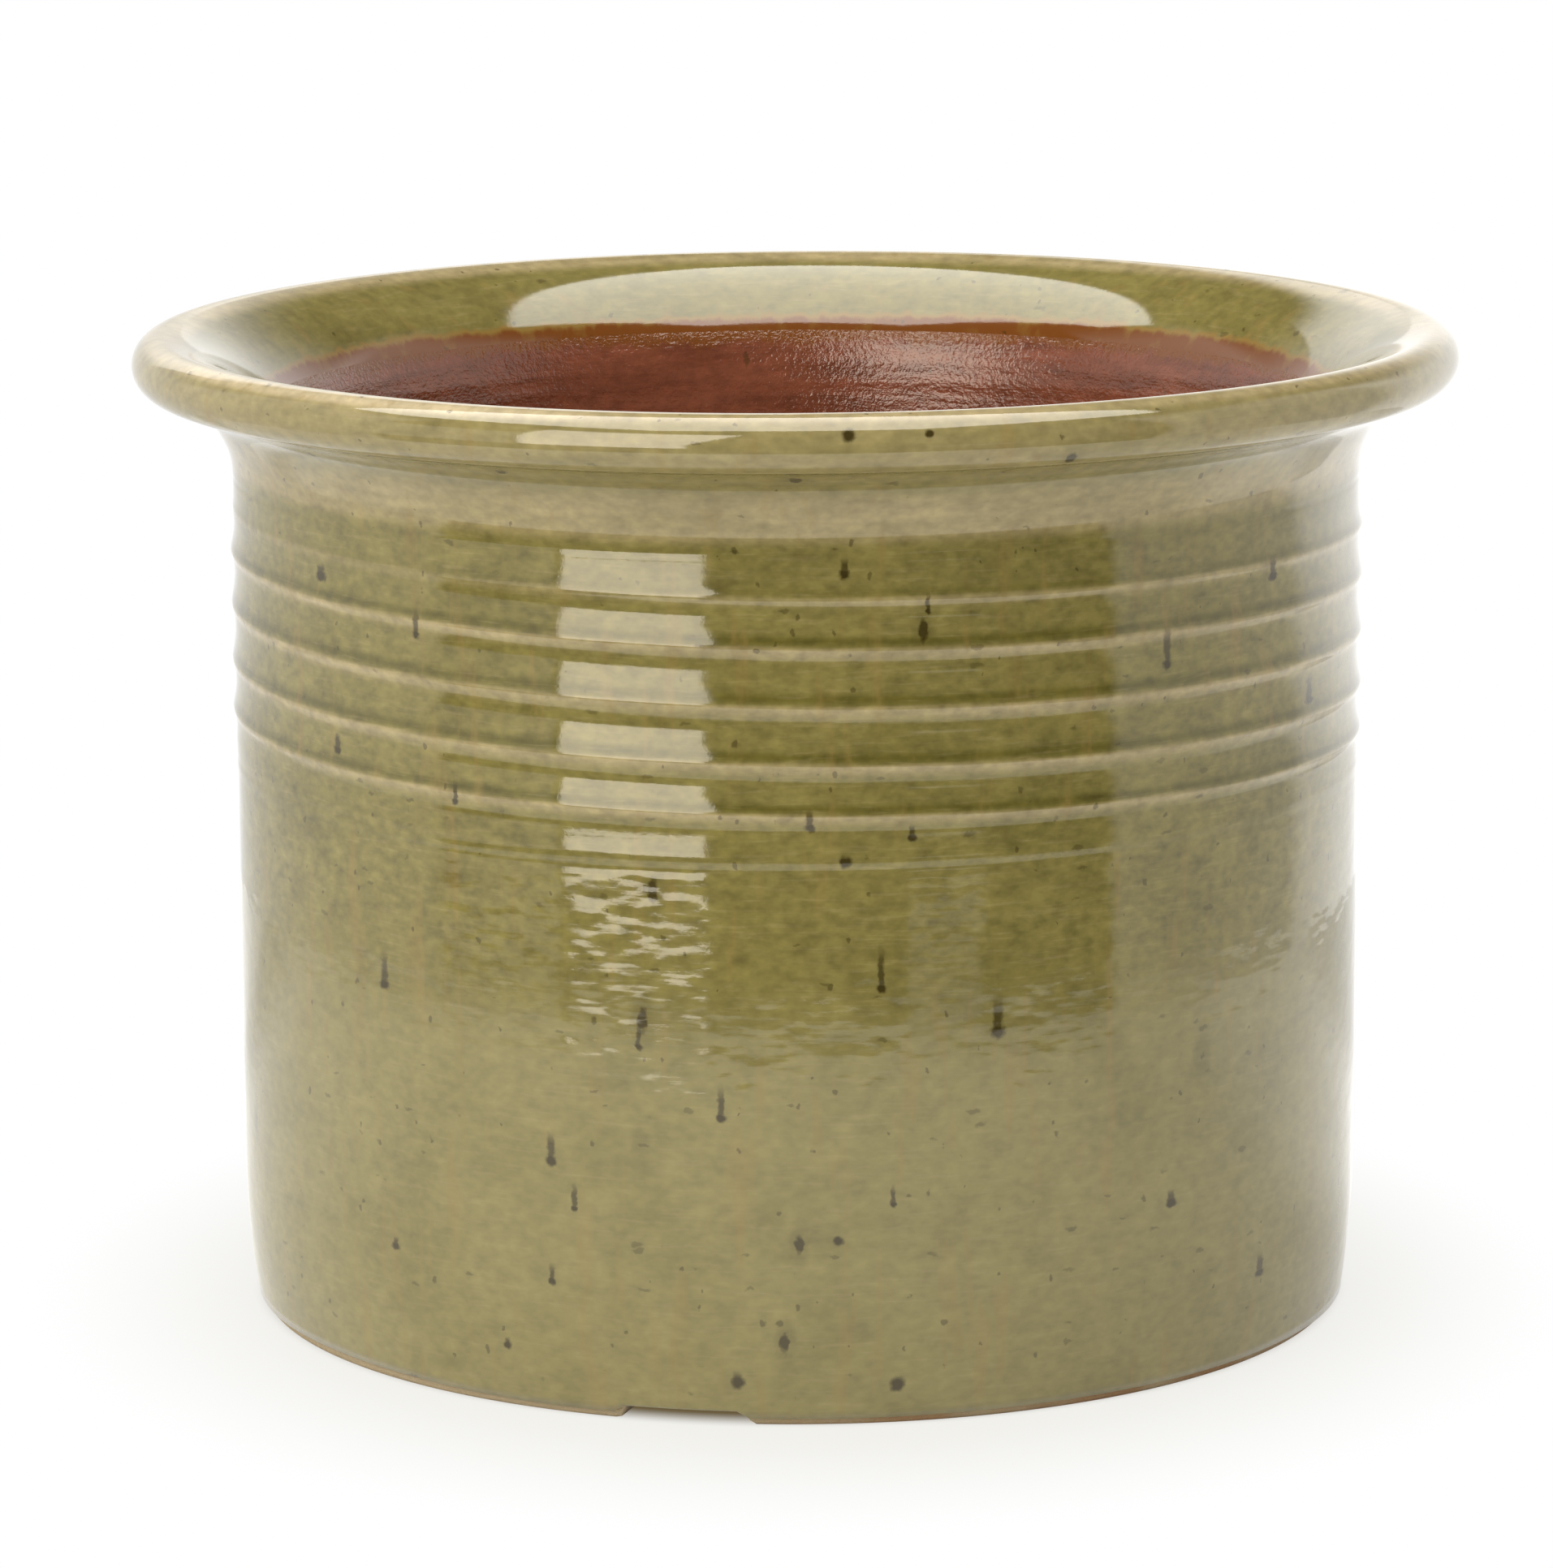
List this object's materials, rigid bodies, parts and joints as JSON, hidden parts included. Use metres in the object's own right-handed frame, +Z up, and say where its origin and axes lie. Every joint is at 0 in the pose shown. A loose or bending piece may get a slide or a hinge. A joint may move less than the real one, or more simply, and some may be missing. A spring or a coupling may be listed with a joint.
{
  "type": "utensil crock",
  "caption": "Round wheel-thrown stoneware crock with a flared rolled lip, a spiral finger groove and an open top that holds kitchen utensils upright.",
  "frame": {"origin": "centre of the foot ring's lower face, on the surface that the crock stands on", "axes": "+Z up along the axis the crock was thrown on; -Y towards the front of the picture"},
  "size_m": [0.18, 0.18, 0.1335],
  "materials": {
    "stoneware_clay": "matte bare fired stoneware",
    "olive_glaze": "glossy olive ash-type glaze with dark iron specks",
    "iron_red_glaze": "satin gloss iron red glaze, amber at its edge"
  },
  "bodies": {
    "root": {"clay_body": "stoneware_clay", "outer_glaze": "olive_glaze", "liner_glaze": "iron_red_glaze"}
  },
  "joints": []
}
